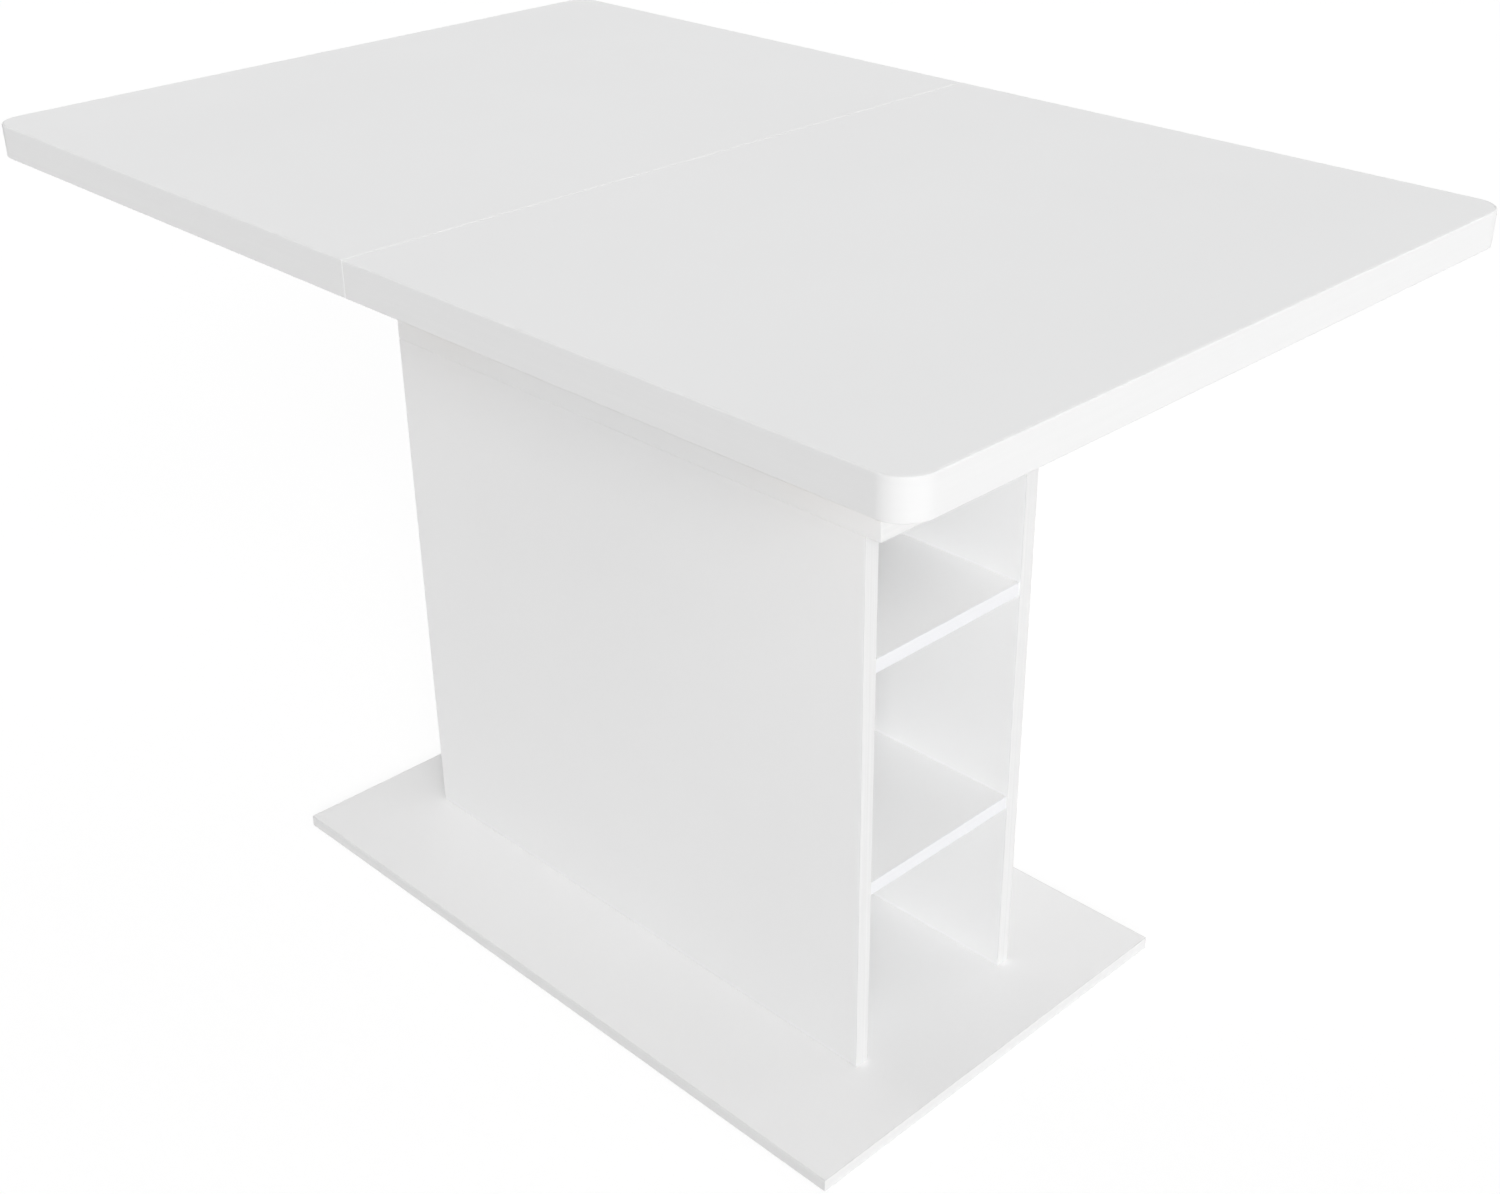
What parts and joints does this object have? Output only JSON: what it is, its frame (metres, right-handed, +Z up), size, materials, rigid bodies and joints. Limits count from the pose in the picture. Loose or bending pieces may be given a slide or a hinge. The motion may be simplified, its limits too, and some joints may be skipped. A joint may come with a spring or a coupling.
{
  "type": "extending kitchen table with storage cabinet",
  "caption": "White kitchen table whose rounded split top slides open on rails for a stored folding leaf, on a flat foot and an open-ended shelf cabinet.",
  "frame": {"origin": "on the floor, under the centre of the closed top", "axes": "+X along the top towards the cabinet's open end, +Y across the top, +Z up"},
  "size_m": [1.1, 0.7, 0.75],
  "materials": {
    "white_board": "satin white melamine over particle board",
    "white_edging": "satin white plastic edging",
    "beech": "lacquered beech",
    "zinc_steel": "zinc-plated steel",
    "gear_plastic": "natural nylon",
    "glide_plastic": "dark grey plastic"
  },
  "bodies": {
    "pedestal": {"axle_clip": "zinc_steel", "back_panel": "white_board", "back_panel_dowels": "beech", "base_edging": "white_edging", "base_plate": "white_board", "base_screws": "zinc_steel", "bearer_screws": "zinc_steel", "bridge_screws": "zinc_steel", "cabinet_top_board": "white_board", "cabinet_top_edging": "white_edging", "floor_glides": "glide_plastic", "guide_rail_far": "beech", "guide_rail_near": "beech", "leaf_bearer_left": "beech", "leaf_bearer_right": "beech", "lower_shelf": "white_board", "lower_shelf_edging": "white_edging", "panel_edging_far": "white_edging", "panel_edging_near": "white_edging", "pinion_axle": "zinc_steel", "pinion_bridge": "beech", "rail_screws": "zinc_steel", "shelf_dowels": "beech", "side_panel_far": "white_board", "side_panel_near": "white_board", "top_board_screws": "zinc_steel", "upper_shelf": "white_board", "upper_shelf_edging": "white_edging", "yoke_left": "beech", "yoke_right": "beech", "yoke_screws": "zinc_steel"},
    "top_right": {"rack_block_right": "beech", "rack_right": "gear_plastic", "rack_screws_right": "zinc_steel", "seam_edging_right": "white_edging", "slide_right_far": "beech", "slide_right_near": "beech", "slide_screws_right": "zinc_steel", "top_band_right": "white_edging", "top_panel_right": "white_board"},
    "top_left": {"alignment_pins": "beech", "rack_block_left": "beech", "rack_left": "gear_plastic", "rack_screws_left": "zinc_steel", "seam_edging_left": "white_edging", "slide_left_far": "beech", "slide_left_near": "beech", "slide_screws_left": "zinc_steel", "top_band_left": "white_edging", "top_panel_left": "white_board"},
    "pinion": {"sync_pinion": "gear_plastic"},
    "leaf": {"leaf_bands": "white_edging", "leaf_board_lower": "white_board", "leaf_board_upper": "white_board", "leaf_hinge_pins": "zinc_steel", "leaf_hinge_plates_lower": "zinc_steel", "leaf_hinge_plates_upper": "zinc_steel"}
  },
  "joints": [
    {"name": "top_right_slide", "type": "slide", "parent": "pedestal", "child": "top_right", "axis": [1, 0, 0], "range_m": [0, 0.2]},
    {"name": "top_left_slide", "type": "slide", "parent": "pedestal", "child": "top_left", "axis": [-1, 0, 0], "range_m": [0, 0.2]},
    {"name": "pinion_spin", "type": "hinge", "parent": "pedestal", "child": "pinion", "pos_m": [0, 0, 0.706], "axis": [0, 0, 1], "range_deg": [-830, 15]},
    {"name": "leaf_draw", "type": "slide", "parent": "pedestal", "child": "leaf", "axis": [0, -1, 0], "range_m": [0, 0.25]}
  ],
  "couplings": [
    {"joint": "top_left_slide", "follows": "top_right_slide", "ratio": 1},
    {"joint": "pinion_spin", "follows": "top_right_slide", "rad_per_m": -71.429}
  ]
}
